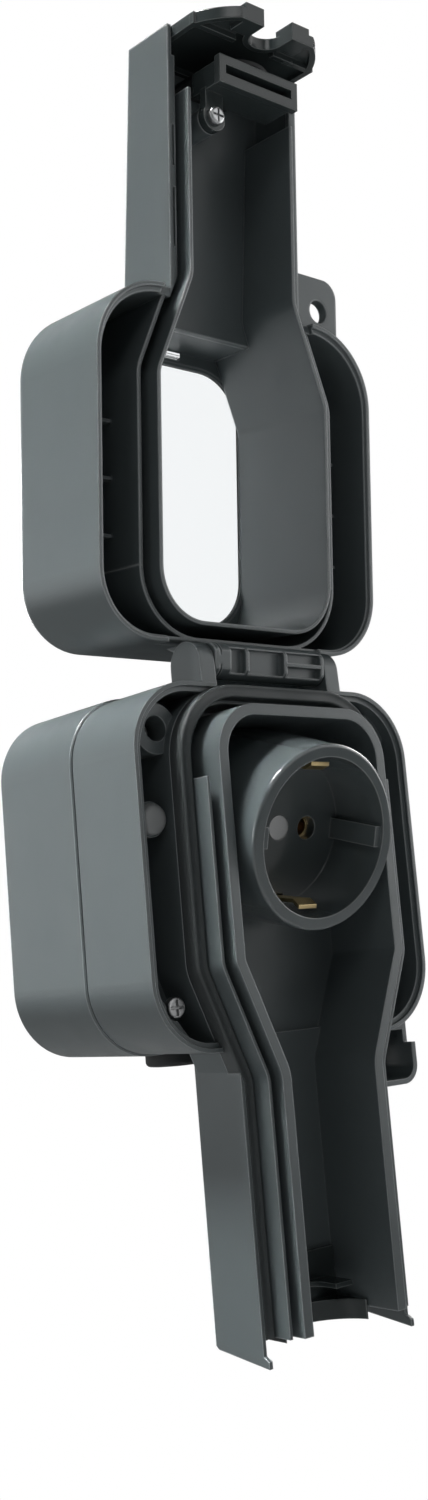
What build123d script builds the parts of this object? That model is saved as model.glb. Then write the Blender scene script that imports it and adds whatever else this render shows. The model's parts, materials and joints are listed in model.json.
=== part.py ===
from build123d import *
import math
import os

# Outdoor weatherproof socket: wall box, hinged cover with a window, long neck and a tilted earthed outlet.
# Millimetres. +X is right, +Y goes into the wall and +Z is up, with the origin on the wall behind the box.
# A depth is a distance in front of the wall. The cover is modelled shut and then swung up on its hinge.

# Box on the wall
box_width = 92.0
box_height = 90.0
box_corner = 18.0
rear_depth = 33.0
rear_overhang = 0.5
rim_depth = 59.5
shell_wall = 2.4
back_wall = 2.8
seam_chamfer = 0.4
rim_lip = 1.1
rim_step = 0.9

# Plate inside the housing, and the neck below it
plate_depth = 43.5
plate_thickness = 2.2
neck_panel = 1.0
neck_back = 44.8
neck_floor = 2.0
neck_panel_front = 62.2
neck_length = 72.2
neck_foot_rise = 2.2
neck_floor_rise = 2.8
neck_wall_rise = 6.0
neck_corner = 1.5
neck_tooth = 1.8
neck_tooth_height = 2.6

# Keyhole labyrinth: soft band, blade, channel for the cover's wall, inner band
seal_side_gap = 11.9
seal_top_gap = 0.6
seal_neck_half = 23.0
seal_corner = 19.0
seal_band = 3.4
seal_seat = 57.5
seal_front = 62.0
seal_edge = 0.5
shoulder_rise = 19.4
shoulder_slope = 22.5
shoulder_round_out = 12.0
shoulder_round_in = 3.0
blade_thickness = 0.8
blade_front = 67.0
blade_top_gap = 24.7
blade_clearance = 0.3
labyrinth_gap = 0.5
inner_band = 2.8
inner_band_front = 69.0

# Corner screws, wall fixings, side caps and entry holes in the underside
post_inset_x = 10.2
post_inset_z = 11.4
post_radius = 4.5
pillar_radius = 6.4
pillar_front = 55.0
well_radius = 3.2
upper_seat = 47.0
lower_seat = 53.4
screw_head_radius = 2.6
screw_head_height = 1.8
screw_cross = 0.7
screw_radius = 1.5
screw_tip_depth = 14.0
screw_clearance = 0.3
thread_clearance = 0.05
ledge_reach = 16.5
ledge_height = 21.0
wall_hole_inset_x = 19.0
wall_hole_inset_z = 15.0
wall_hole_radius = 2.5
wall_boss_radius = 5.0
wall_boss_height = 2.0
cap_inset = 7.6
cap_z = 11.5
cap_radius = 3.9
cap_height = 2.4
cap_dome = 1.9
cap_stem_radius = 1.6
cap_stem_length = 4.0
cap_post_radius = 4.4
cap_post_front = 53.6
entry_x = 10.0
entry_depth = 18.5
entry_radius = 5.5
grommet_radius = 7.6
grommet_flange = 4.0
grommet_inner_flange = 1.2
grommet_membrane = 1.0
grommet_clearance = 0.1
box_seal_width = 1.0
box_seal_height = 1.6

# Hinge and padlock ears
hinge_depth = 55.2
hinge_rise = 5.5
open_angle = 174.0
pin_radius = 1.5
pin_fit = 0.02
pin_running = 0.06
ear_inside = 18.9
ear_thickness = 4.7
ear_radius = 5.9
ear_middle = 53.3
ear_bore_floor = 1.0
pin_end_gap = 0.2
pin_chamfer = 0.3
knuckle_radius = 4.7
knuckle_gap = 0.4
knuckle_flat = 4.1
knuckle_wall = 1.0
knuckle_drop = 1.1
knuckle_clearance = 0.4
pocket_floor = 2.2
pocket_start = -13.4
pocket_width = 5.0
saddle_width = 12.0
flange_width = 1.5
padlock_x = 30.0
padlock_drop = 7.5
padlock_hole = 3.2
padlock_outer = 36.9
padlock_reach = 13.8
padlock_round = 5.0
padlock_rim = 1.4
padlock_web = 1.7
padlock_front = 61.5
padlock_depth = 14.0

# Tilted earthed outlet: two pins 19 apart, earth tongues above and below
outlet_depth = 73.5
outlet_height = 4.3
outlet_tilt = 15.0
recess_radius = 20.0
recess_depth = 17.5
recess_floor = 3.0
collar_radius = 23.2
collar_round = 0.8
collar_flare = 24.8
collar_flare_at = 29.0
socket_radius = 19.8
socket_length = 19.5
socket_clearance = 0.6
pin_spacing = 19.0
pin_hole_radius = 3.0
sleeve_outer = 3.4
sleeve_inner = 2.45
sleeve_length = 15.5
tongue_width = 6.0
tongue_place = 17.9
tongue_thickness = 1.0
tongue_length = 13.3
tongue_bow = 1.2
tongue_slot_gap = 0.4
key_width = 5.4
key_height = 2.0
centre_head_radius = 3.2
centre_screw_radius = 1.4
centre_screw_length = 11.0
terminal_head_radius = 2.6
terminal_head_height = 1.8
terminal_screw_length = 8.0
terminal_high = 6.5
terminal_low = -9.0

# Cover
cover_rim_gap = 0.8
cover_overhang = 1.0
cover_top_gap = 0.4
cover_end_overhang = 2.6
cover_hinge_corner = 17.4
cover_end_corner = 21.0
cover_depth = 98.6
cover_wall = 1.7
cover_end_wall = 2.4
cover_front_wall = 2.6
cover_edge = 4.0
rib_inset = 0.7
rib_thickness = 1.0
seal_touch = 0.3
inner_wall = 1.0
inner_wall_tip = 59.1
inner_wall_rise = 16.2
cover_neck_extra = 0.8
neck_side_wall = 1.2
neck_lip = 1.0
neck_lip_depth = 1.5
neck_lip_rise = 8.0
neck_slot_width = 0.6
neck_slot_drop = 11.4
neck_slot_length = 15.8
neck_slot_space = 5.7
lower_slot_length = 10.9
neck_front_high = 82.8
neck_front_low = 79.3
neck_front_wall = 2.0
hinge_notch = 26.0
hinge_notch_depth = 66.5
hinge_web_depth = 72.0
web_thickness = 0.8
web_depth = 74.0
web_levels = (-14.0, 1.0, 16.0)
cover_ear_depth = 62.6
cover_ear_thickness = 3.0
cover_ear_extra = 3.1

# Window in the cover
window_side_gap = 17.8
window_top_gap = 11.4
window_end_gap = 7.0
window_corner = 14.0
window_ledge = 4.2
window_recess = 1.6
window_seal_width = 1.2
window_seal_thickness = 0.8
window_proud = 0.4
window_gap = 0.15
lug_width = 7.0
end_lug_width = 12.0
lug_thickness = 1.2
lug_place = 2.7
lug_end_place = 3.2
lug_slot_gap = 0.4
lug_reach = 1.0

# End of the neck: slotted block, soft tongue and horned gate in the cover, cradle in the base
block_half_width = 13.5
block_rise = 9.5
block_height = 7.5
block_front = 51.7
block_back = 64.0
block_flange = 2.2
block_waist = 0.7
slot_half_width = 11.4
slot_rise = 2.4
slot_height = 2.4
slot_length = 7.0
lug_screw_rise = 6.0
lug_radius = 3.6
lug_front = 58.4
lug_plate = 2.4
latch_head_radius = 2.4
latch_head_height = 1.7
cross_slot = 0.6
latch_screw_radius = 1.3
latch_screw_length = 9.0
flap_half_width = 9.6
flap_front = 52.9
flap_thickness = 1.7
flap_gap = 0.8
gate_radius = 22.0
gate_centre = 62.0
gate_front = 43.8
gate_height = 3.2
gate_setback = 0.2
gate_plate = 1.4
gate_rim = 1.6
horn_reach = 1.6
horn_width = 6.0
horn_length = 6.5
gate_notch = 4.9
gate_notch_floor = 53.2
gate_side_gap = 0.25
cradle_gap = 0.4
cradle_plate = 1.2
cradle_rib = 1.2
cradle_rib_front = 57.0
cradle_rise = 14.0
saddle_radius = 14.0
saddle_gap = 0.9
saddle_setback = 0.2
cradle_notch = 5.2
cradle_side_gap = 0.5

# Reach of the cutting blocks, larger than the object
far = 400.0

# Places worked out from the sizes above
plate_front = plate_depth + plate_thickness
side_edge = box_width / 2
top_edge = box_height / 2
box_low = -top_edge
post_x = side_edge - post_inset_x
post_z = top_edge - post_inset_z
wall_hole_x = side_edge - wall_hole_inset_x
wall_hole_z = top_edge - wall_hole_inset_z
cap_x = side_edge - cap_inset
hinge_height = top_edge + hinge_rise
seal_half_width = side_edge - seal_side_gap
seal_top = top_edge - seal_top_gap
shoulder_high = box_low + shoulder_rise
blade_top = top_edge - blade_top_gap
neck_floor_front = neck_back + neck_floor
neck_panel_end = box_low - neck_length
neck_floor_end = neck_panel_end + neck_floor_rise
neck_wall_end = neck_panel_end + neck_wall_rise
inner_wall_end = neck_panel_end + inner_wall_rise
padlock_z = box_low - padlock_drop
padlock_low = box_low - padlock_reach
neck_half = seal_neck_half + neck_panel
blade_inset = seal_band
channel_inset = blade_inset + blade_thickness
wall_inset = channel_inset + labyrinth_gap
inner_inset = wall_inset + inner_wall + labyrinth_gap
cavity_inset = inner_inset + inner_band
cover_rim = rim_depth + cover_rim_gap
cover_half = side_edge + cover_overhang
cover_top = top_edge - cover_top_gap
cover_bottom = box_low - cover_end_overhang
cover_neck_end = neck_panel_end - cover_neck_extra
cover_neck_half = seal_neck_half - rib_inset
cover_floor = cover_depth - cover_front_wall
rib_tip = seal_front + seal_touch
rib_back = rib_inset + rib_thickness
knuckle_half = ear_inside - knuckle_gap
block_low = cover_neck_end + block_rise
block_high = block_low + block_height
slot_low = block_low + slot_rise
slot_high = slot_low + slot_height
lug_screw_x = lug_radius + cradle_gap - (seal_neck_half - cavity_inset)
lug_screw_z = block_high + lug_screw_rise


def at_depth(sketch, start, end):
    """Sketch in X and Z, carried from one depth in front of the wall to another."""
    return extrude(Plane.XZ.offset(start) * sketch, end - start)


def across(sketch, start, end):
    """Sketch in depth and Z, carried along X from start to end."""
    return extrude(Plane((end, 0, 0), x_dir=(0, -1, 0), z_dir=(-1, 0, 0)) * sketch, end - start)


def upright(sketch, low, high):
    """Sketch in X and depth, carried from one height to another."""
    return extrude(Plane((0, 0, high), x_dir=(1, 0, 0), z_dir=(0, 0, -1)) * sketch, high - low)


def block(x0, x1, d0, d1, z0, z1):
    """Rectangular block between two X values, two depths and two heights."""
    size = Box(x1 - x0, d1 - d0, z1 - z0)
    return Pos((x0 + x1) / 2, -(d0 + d1) / 2, (z0 + z1) / 2) * size


def rod(x, z, radius, start, end):
    """Round rod along the depth."""
    return at_depth(Pos(x, z) * Circle(radius), start, end)


def frame(width, height, corner, inset=0.0, middle=0.0):
    """Rounded rectangle in X and Z, drawn in from its edge by the inset."""
    return Pos(0, middle) * RectangleRounded(width - 2 * inset, height - 2 * inset, corner - inset)


def keyhole(inset, end):
    """Keyhole outline, drawn in from the soft band's outer edge, with its neck open down to end."""
    side = seal_half_width - inset
    neck = seal_neck_half - inset
    top = seal_top - inset
    slope = math.radians(shoulder_slope)
    high = shoulder_high + inset * math.tan(slope / 2)
    low = high - (side - neck) / math.tan(slope)
    left = [(-neck, end), (-neck, low), (-side, high), (-side, top)]
    right = [(-x, z) for x, z in reversed(left)]
    rounds = [shoulder_round_in + inset, shoulder_round_out - inset, seal_corner - inset]
    path = FilletPolyline(*left, *right, radius=rounds + rounds[::-1])
    return make_face(path.edges() + Line(path @ 1, path @ 0).edges())


def keyhole_band(outer, inner, end):
    """Band between two keyhole outlines, open at the neck's end."""
    return keyhole(outer, end) - keyhole(inner, end)


def ear_plate(inner, outer, low, high, corner):
    """Padlock ear's outline: a plate with its lower outside corner rounded."""
    edge = FilletPolyline((inner, low), (outer, low), (outer, high), radius=corner)
    return make_face(edge.edges() + Polyline((outer, high), (inner, high), (inner, low)).edges())


def mirrored(shape):
    """The shape with its mirror image on the other side of the middle plane."""
    return shape + mirror(shape, Plane.YZ)


def group(*shapes):
    """Like pieces kept as separate solids of one node."""
    return Compound(children=[solid for shape in shapes for solid in shape.solids()])


# Back box: tray with screw posts, wall-fixing bosses, a seal step and entry holes
rear_width = box_width + 2 * rear_overhang
rear_height = box_height + 2 * rear_overhang
rear_corner = box_corner + rear_overhang
rear_box = at_depth(frame(rear_width, rear_height, rear_corner), 0, rear_depth)
rear_box = chamfer(rear_box.faces().sort_by(Axis.Y)[0].edges(), seam_chamfer)
rear_box -= at_depth(frame(rear_width, rear_height, rear_corner, shell_wall), back_wall, rear_depth)
seal_step = box_seal_width + grommet_clearance
seal_outline = frame(rear_width, rear_height, rear_corner, shell_wall - box_seal_width)
rear_box -= at_depth(seal_outline, rear_depth - box_seal_height, rear_depth)
corners = [(x, z) for x in (-post_x, post_x) for z in (-post_z, post_z)]
rear_inside = at_depth(frame(rear_width, rear_height, rear_corner, seal_step), back_wall, rear_depth)
for x, z in corners:
    post = rod(x, z, post_radius, back_wall, rear_depth - box_seal_height)
    rear_box += post & rear_inside
    rear_box -= rod(x, z, screw_radius + thread_clearance, screw_tip_depth - screw_radius, rear_depth)
wall_holes = [(x, z) for x in (-wall_hole_x, wall_hole_x) for z in (-wall_hole_z, wall_hole_z)]
for x, z in wall_holes:
    rear_box += rod(x, z, wall_boss_radius, back_wall, back_wall + wall_boss_height)
    rear_box -= rod(x, z, wall_hole_radius, 0, back_wall + wall_boss_height)
rear_low = -rear_height / 2
for x in (-entry_x, entry_x):
    rear_box -= upright(Pos(x, entry_depth) * Circle(entry_radius), rear_low, rear_low + shell_wall)

# Rubber ring in the step of the joint
box_seal = at_depth(
    frame(rear_width, rear_height, rear_corner, shell_wall - box_seal_width + grommet_clearance)
    - frame(rear_width, rear_height, rear_corner, shell_wall),
    rear_depth - box_seal_height,
    rear_depth,
)

# Membrane grommets in the entry holes: outer flange, neck, inner flange and a thin dished end
grommets = []
for x in (-entry_x, entry_x):
    flange = upright(Pos(x, entry_depth) * Circle(grommet_radius), rear_low - grommet_flange, rear_low)
    flange = fillet(flange.faces().sort_by(Axis.Z)[0].edges(), grommet_flange / 3)
    neck_radius = entry_radius - grommet_clearance
    stem = upright(Pos(x, entry_depth) * Circle(neck_radius), rear_low, rear_low + shell_wall)
    lip_low = rear_low + shell_wall
    lip_radius = (entry_radius + grommet_radius) / 2
    lip = upright(Pos(x, entry_depth) * Circle(lip_radius), lip_low, lip_low + grommet_inner_flange)
    dish_radius = neck_radius - grommet_membrane
    dish_low = rear_low - grommet_flange + grommet_membrane
    dish = upright(Pos(x, entry_depth) * Circle(dish_radius), dish_low, lip_low + grommet_inner_flange)
    grommets.append(flange + stem + lip - dish)
entry_grommets = group(*grommets)

# Front housing: frame with a stepped rim and an inner plate
housing = at_depth(frame(box_width, box_height, box_corner), rear_depth, rim_depth)
housing = chamfer(housing.faces().sort_by(Axis.Y)[-1].edges(), seam_chamfer)
housing_inside = frame(box_width, box_height, box_corner, shell_wall)
housing -= at_depth(housing_inside, rear_depth, plate_depth)
housing -= at_depth(housing_inside, plate_front, rim_depth)
housing -= at_depth(frame(box_width, box_height, box_corner, rim_lip), rim_depth - rim_step, rim_depth)

# Screw wells in the upper corners, ledges in the lower corners and posts at the sides
corner_room = housing_inside - keyhole(blade_inset / 2, neck_wall_end)
for side in (-1, 1):
    upper = (Pos(side * post_x, post_z) * Circle(pillar_radius)) & corner_room
    housing += at_depth(upper, plate_front, pillar_front)
    edge_x = side * box_width / 2
    ledge_tips = [(edge_x, box_low + ledge_height), (edge_x - side * ledge_reach, box_low)]
    triangle = Polygon(ledge_tips[0], (edge_x, box_low), ledge_tips[1], align=None)
    housing += at_depth(triangle & corner_room, plate_front, pillar_front)
    cap_post = (Pos(side * cap_x, cap_z) * Circle(cap_post_radius)) & corner_room
    housing += at_depth(cap_post, plate_front, cap_post_front)
    stem_hole = cap_post_front - cap_stem_length - thread_clearance
    housing -= rod(side * cap_x, cap_z, cap_stem_radius + thread_clearance, stem_hole, cap_post_front)
for x, z in corners:
    seat = upper_seat if z > 0 else lower_seat
    boss = at_depth((Pos(x, z) * Circle(post_radius)) & housing_inside, rear_depth, plate_depth)
    housing += boss
    housing -= rod(x, z, screw_radius + screw_clearance, rear_depth, seat)
    housing -= rod(x, z, well_radius, seat, pillar_front)

# Neck: floor, side panels with a toothed foot
housing -= at_depth(keyhole(0, neck_wall_end), plate_front, rim_depth)
housing += block(-neck_half, neck_half, neck_back, neck_floor_front, neck_floor_end, box_low + shell_wall)
tooth_front = neck_panel_front + neck_tooth
foot = [(neck_panel_front, box_low), (neck_back, box_low), (neck_back, neck_panel_end + neck_foot_rise),
        (tooth_front, neck_panel_end)]
foot_path = FilletPolyline(*foot[1:], radius=neck_corner)
tooth_top = neck_panel_end + neck_tooth_height
tooth = [(tooth_front, tooth_top - neck_tooth / 2), (neck_panel_front, tooth_top)]
foot_close = Polyline(foot[3], *tooth, foot[0], foot[1])
panel = make_face(foot_path.edges() + foot_close.edges())
panels = mirrored(across(panel, seal_neck_half, neck_half))
housing += panels - at_depth(keyhole(0, neck_panel_end), plate_front, tooth_front)

# Keyhole walls: seat of the soft band, blade below the blade's top, inner band
housing += at_depth(keyhole_band(0, channel_inset, neck_wall_end), plate_front, seal_seat)
blade = at_depth(keyhole_band(blade_inset, channel_inset, neck_wall_end), seal_seat, blade_front)
housing += blade & block(-far, far, 0, far, -far, blade_top)
housing += at_depth(keyhole_band(inner_inset, cavity_inset, neck_wall_end), plate_front, inner_band_front)

# Hinge ears on top with a hollow for the knuckle between them. The pin's bore is blind on the left
ear_outer = ear_inside + ear_thickness
ear_foot = seal_top
ear_back = ear_middle - ear_radius
ear_profile = Pos(ear_middle, hinge_height) * Circle(ear_radius)
ear_profile += Polygon((ear_back, ear_foot), (rim_depth, ear_foot), (ear_middle + ear_radius, hinge_height),
                       (ear_back, hinge_height), align=None)
housing += mirrored(across(ear_profile, ear_inside, ear_outer))
relief_radius = knuckle_radius + knuckle_drop + knuckle_clearance
relief = Pos(hinge_depth, hinge_height) * Circle(relief_radius)
relief_low = cover_top - knuckle_clearance
relief += Polygon((hinge_depth, relief_low), (rim_depth, relief_low), (rim_depth, hinge_height),
                  (hinge_depth, hinge_height), align=None)
housing -= across(relief, -ear_inside, ear_inside)
pin_hole = Pos(hinge_depth, hinge_height) * Circle(pin_radius + pin_fit)
housing -= across(pin_hole, ear_bore_floor - ear_outer, ear_outer)

# Padlock ear: shallow tray with a hole
tray_back = padlock_front - padlock_depth
tray_edge = cover_bottom - cover_rim_gap
tray = ear_plate(seal_neck_half, padlock_outer, padlock_low, box_low + shell_wall, padlock_round)
hollow = ear_plate(neck_half, padlock_outer - padlock_rim, padlock_low + padlock_rim, box_low,
                   padlock_round - padlock_rim)
padlock = at_depth(tray, tray_back, rim_depth - rim_step)
padlock += at_depth(tray & Pos(0, tray_edge - far / 2) * Rectangle(far, far), tray_back, padlock_front)
padlock -= at_depth(hollow, tray_back + padlock_web, padlock_front)
housing += padlock - at_depth(keyhole(0, neck_panel_end), tray_back, padlock_front)
housing -= rod(padlock_x, padlock_z, padlock_hole, tray_back, padlock_front)

# Tilted outlet: its own frame, with the third axis out of the recess
tilt = math.radians(outlet_tilt)
outlet_axis = (0, -math.cos(tilt), -math.sin(tilt))
outlet = Plane((0, -outlet_depth, outlet_height), x_dir=(1, 0, 0), z_dir=outlet_axis)


def outlet_rod(x, y, radius, start, end):
    """Round rod along the outlet's axis, from a start to an end measured from the collar's face."""
    return extrude(outlet.offset(start) * Pos(x, y) * Circle(radius), end - start)


def outlet_bar(width, height, start, end, x=0.0, y=0.0):
    """Rectangular bar along the outlet's axis."""
    return extrude(outlet.offset(start) * Pos(x, y) * Rectangle(width, height), end - start)


floor_back = -recess_depth - recess_floor
cavity_radius = socket_radius + socket_clearance
socket_back = floor_back - socket_length
housing -= outlet_rod(0, 0, cavity_radius, socket_back, 0) & block(-far, far, 0, plate_front, -far, far)
front_housing = housing

# Screws of the housing: two deep in the wells, two on the ledges
cross_span = 2 * (screw_head_radius - screw_cross)
heads = {}
for name, seat, z in (("upper", upper_seat, post_z), ("lower", lower_seat, -post_z)):
    pair = []
    for x in (-post_x, post_x):
        shank = rod(x, z, screw_radius, screw_tip_depth, seat)
        head_front = seat + screw_head_height
        head = rod(x, z, screw_head_radius, seat, head_front)
        head = fillet(head.faces().sort_by(Axis.Y)[0].edges(), screw_head_height / 3)
        cross = Pos(x, z) * (Rectangle(cross_span, screw_cross) + Rectangle(screw_cross, cross_span))
        pair.append(shank + head - at_depth(cross, head_front - screw_head_height / 2, head_front))
    heads[name] = group(*pair)
upper_screws = heads["upper"]
lower_screws = heads["lower"]

# Round caps at the sides, with their stems
caps = []
for x in (-cap_x, cap_x):
    disc = rod(x, cap_z, cap_radius, cap_post_front, cap_post_front + cap_height)
    disc = fillet(disc.faces().sort_by(Axis.Y)[0].edges(), cap_dome)
    caps.append(disc + rod(x, cap_z, cap_stem_radius, cap_post_front - cap_stem_length, cap_post_front))
side_caps = group(*caps)

# Steel hinge pin, from the blind bore to just inside the right ear
pin_start = ear_bore_floor - ear_outer + pin_end_gap
hinge_pin = across(Pos(hinge_depth, hinge_height) * Circle(pin_radius), pin_start, ear_outer - pin_end_gap)
hinge_pin = chamfer(hinge_pin.edges().filter_by(GeomType.CIRCLE), pin_chamfer)

# Soft band on the keyhole wall, with eased front edges
keyhole_seal = at_depth(keyhole_band(0, seal_band, neck_wall_end), seal_seat, seal_front)
keyhole_seal = fillet(keyhole_seal.faces().sort_by(Axis.Y)[0].edges(), seal_edge)

# Socket cover: flared collar on the plate, recess with keys, pin holes and tongue slots
flare_back = -outlet_depth
slope_out = (collar_flare - collar_radius) / collar_flare_at
collar_foot = (collar_radius - slope_out * flare_back, flare_back)
collar_line = FilletPolyline((0, 0), (collar_radius, 0), collar_foot, radius=collar_round)
collar_close = Polyline(collar_line @ 1, (0, flare_back), (0, 0))
collar_face = make_face(collar_line.edges() + collar_close.edges())
socket_cover = outlet * revolve(Plane.XZ * collar_face, Axis.Z)
socket_cover &= at_depth(keyhole(cavity_inset + labyrinth_gap, neck_wall_end), plate_front, far)
socket_cover -= outlet_rod(0, 0, recess_radius, -recess_depth, 1)
socket_cover -= outlet_rod(0, 0, cavity_radius, socket_back, floor_back)
for side in (-1, 1):
    key = outlet_bar(key_height * 2, key_width, -recess_depth, -collar_round, x=side * recess_radius)
    socket_cover += key & outlet_rod(0, 0, (recess_radius + collar_radius) / 2, -recess_depth, 0)
    socket_cover -= outlet_rod(side * pin_spacing / 2, 0, pin_hole_radius, floor_back, -recess_depth)
    slot_height = tongue_thickness + 2 * tongue_slot_gap
    socket_cover -= outlet_bar(tongue_width + 2 * tongue_slot_gap, slot_height, floor_back, -recess_depth,
                               y=side * tongue_place)
head_depth = centre_head_radius - centre_screw_radius
screw_hole = centre_screw_radius + thread_clearance
head_room = centre_head_radius + thread_clearance
countersink = Cone(screw_hole, head_room, head_depth, align=(Align.CENTER, Align.CENTER, Align.MAX))
socket_cover -= outlet.offset(-recess_depth) * countersink
socket_cover -= outlet_rod(0, 0, screw_hole, floor_back, -recess_depth)

# Socket body behind the recess, with bores for the sleeves and a groove for the earth strap
strap_back = floor_back - tongue_thickness
strap_half = tongue_place + tongue_thickness / 2
socket_body = outlet_rod(0, 0, socket_radius, socket_back, floor_back)
socket_body = fillet(socket_body.edges().filter_by(GeomType.CIRCLE).sort_by(Axis.Y)[-1], collar_round)
groove_width = tongue_width + 2 * tongue_slot_gap
socket_body -= outlet_bar(groove_width, 2 * (strap_half + tongue_slot_gap), strap_back, floor_back)
screw_end = -recess_depth - centre_screw_length
socket_body -= outlet_rod(0, 0, screw_hole, screw_end - thread_clearance, floor_back)
terminals = [(-pin_spacing / 2, terminal_high), (pin_spacing / 2, terminal_high), (0, terminal_low)]
for x, y in terminals:
    terminal_end = socket_back + terminal_screw_length
    socket_body -= outlet_rod(x, y, screw_hole, socket_back, terminal_end + thread_clearance)
sleeve_room = sleeve_outer + thread_clearance
sleeve_back = floor_back - sleeve_length
for side in (-1, 1):
    socket_body -= outlet_rod(side * pin_spacing / 2, 0, sleeve_room, sleeve_back, floor_back)

# Contact sleeves, closed at the back
sleeves = []
for side in (-1, 1):
    x = side * pin_spacing / 2
    sleeve = outlet_rod(x, 0, sleeve_outer, sleeve_back, floor_back)
    sleeves.append(sleeve - outlet_rod(x, 0, sleeve_inner, sleeve_back + sleeve_inner, floor_back))
pin_contacts = group(*sleeves)

# Earth strap across the back of the recess, with a bowed tongue at the top and the bottom
tip = tongue_length - recess_depth
bow_at = tip - 2 * tongue_bow
outside = tongue_place + tongue_thickness / 2
line = [(outside, strap_back), (outside, -recess_depth), (outside - tongue_bow, bow_at), (outside, tip)]
tongue_points = line + [(x - tongue_thickness, y) for x, y in reversed(line)]
tongue_face = make_face(Polyline(*tongue_points, close=True))
tongue = extrude(Plane.YZ.offset(-tongue_width / 2) * tongue_face, tongue_width)
strap = tongue + mirror(tongue, Plane.XZ)
strap = outlet * strap
strap += outlet_bar(tongue_width, 2 * strap_half, strap_back, floor_back)
earth_clip = strap - outlet_rod(0, 0, screw_hole, strap_back, floor_back)

# Centre screw, countersunk in the recess floor
head_top = (Align.CENTER, Align.CENTER, Align.MAX)
cone = Cone(centre_screw_radius, centre_head_radius, head_depth, align=head_top)
centre_screw = outlet.offset(-recess_depth) * cone
centre_screw += outlet_rod(0, 0, centre_screw_radius, screw_end, -recess_depth - head_depth)

# Terminal screws on the back of the socket body
clamps = []
for x, y in terminals:
    head = outlet_rod(x, y, terminal_head_radius, socket_back - terminal_head_height, socket_back)
    clamps.append(head + outlet_rod(x, y, centre_screw_radius, socket_back, terminal_end))
terminal_screws = group(*clamps)

# Cradle in the end of the neck: plate, notched rib that enters the block's slot, hollow saddle
cradle_half = seal_neck_half - cavity_inset - cradle_gap
cradle_high = neck_wall_end + cradle_rise
cradle_top = neck_floor_front + cradle_plate
rib_middle = (slot_low + slot_high) / 2
rib_half = slot_half_width - cradle_side_gap
rib_low = rib_middle - cradle_rib / 2
cradle = block(-rib_half, rib_half, neck_floor_front, cradle_rib_front, rib_low, rib_low + cradle_rib)
saddle_outline = Pos(0, neck_floor_front + saddle_radius / 2) * Rectangle(2 * cradle_half, saddle_radius)
saddle_outline -= Pos(0, cradle_top + saddle_radius) * Circle(saddle_radius)
saddle_low = neck_floor_end + saddle_setback
cradle += upright(saddle_outline, saddle_low, block_low - saddle_gap)
cradle += block(-cradle_half, cradle_half, neck_floor_front, cradle_top, saddle_low, cradle_high)
notch_centre = cradle_top + cradle_notch
notch = Pos(0, notch_centre) * Circle(cradle_notch)
notch += Pos(0, notch_centre + far / 2) * Rectangle(2 * cradle_notch, far)
cable_cradle = cradle - upright(notch, saddle_low, cradle_high)


def neck_front(z, inset=0.0):
    """Depth of the cover neck's sloping front at a height, drawn in by the inset."""
    share = (z - cover_neck_end) / (cover_bottom - cover_neck_end)
    return neck_front_low + share * (neck_front_high - neck_front_low) - inset


def before_neck_front(inset, low, high):
    """Everything behind the neck's sloping front, between two heights."""
    slope = [(neck_front(low, inset), low), (neck_front(high, inset), high)]
    return across(Polygon((0, low), *slope, (0, high), align=None), -far, far)


def cover_outline(inset, end_inset):
    """Cover's outline, drawn in from its edge, with wider rounds at the neck's end than at the hinge."""
    width = 2 * (cover_half - inset)
    low = cover_bottom + end_inset
    high = cover_top - inset
    outline = Pos(0, (low + high) / 2) * Rectangle(width, high - low)
    ends = outline.vertices().group_by(Axis.Y)
    outline = fillet(ends[0], cover_end_corner - inset)
    return fillet(outline.vertices().group_by(Axis.Y)[-1], cover_hinge_corner - inset)


# Cover shell: deep tray with rounded front edges and a stepped rim
lid = at_depth(cover_outline(0, 0), cover_rim, cover_depth)
lid = fillet(lid.faces().sort_by(Axis.Y)[0].edges(), cover_edge)
lid -= at_depth(cover_outline(cover_wall, cover_end_wall), cover_rim, cover_floor)
lid -= at_depth(cover_outline(rim_lip, rim_lip), cover_rim, cover_rim + rim_step)

# Clearance for the soft band in the cover's rim, and the groove behind the hinge
lid -= at_depth(keyhole(-labyrinth_gap, cover_neck_end), cover_rim, rib_tip)
lid -= block(-hinge_notch, hinge_notch, cover_rim, rib_tip, cover_top - 2 * cover_wall, cover_top)
lid -= block(-hinge_notch, hinge_notch, cover_rim, hinge_notch_depth, seal_top - rib_inset, cover_top)

# Neck of the cover, hollow behind its front, set into the shell's end wall
neck_top = cover_bottom + cover_end_wall
hollow_half = cover_neck_half - neck_side_wall
neck = block(-cover_neck_half, cover_neck_half, rib_tip, cover_depth, cover_neck_end, neck_top)
neck &= before_neck_front(0, cover_neck_end, neck_top)
lid -= neck
neck_hollow = block(-hollow_half, hollow_half, 0, cover_depth, cover_neck_end, neck_top)
neck_hollow &= before_neck_front(neck_front_wall, cover_neck_end, neck_top)
neck -= neck_hollow
lid -= neck_hollow

# Lip along the neck's rim, parted from the wall by slots, and the way for the blade's shoulders
lip_half = hollow_half - neck_lip
lip_front = rib_tip + neck_lip_depth
lip_low = cover_neck_end + neck_lip_rise
neck += mirrored(block(lip_half, hollow_half, rib_tip, lip_front, lip_low, cover_bottom))
upper_slot = cover_bottom - neck_slot_drop
lower_slot = upper_slot - neck_slot_length - neck_slot_space
for high, length in ((upper_slot, neck_slot_length), (lower_slot, lower_slot_length)):
    slit = block(hollow_half - neck_slot_width, hollow_half, rib_tip, lip_front, high - length, high)
    neck -= mirrored(slit)
blade_way = at_depth(keyhole(blade_inset - blade_clearance, cover_neck_end), 0, blade_front + blade_clearance)
lid -= blade_way & block(-far, far, 0, far, cover_bottom, neck_top)

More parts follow.
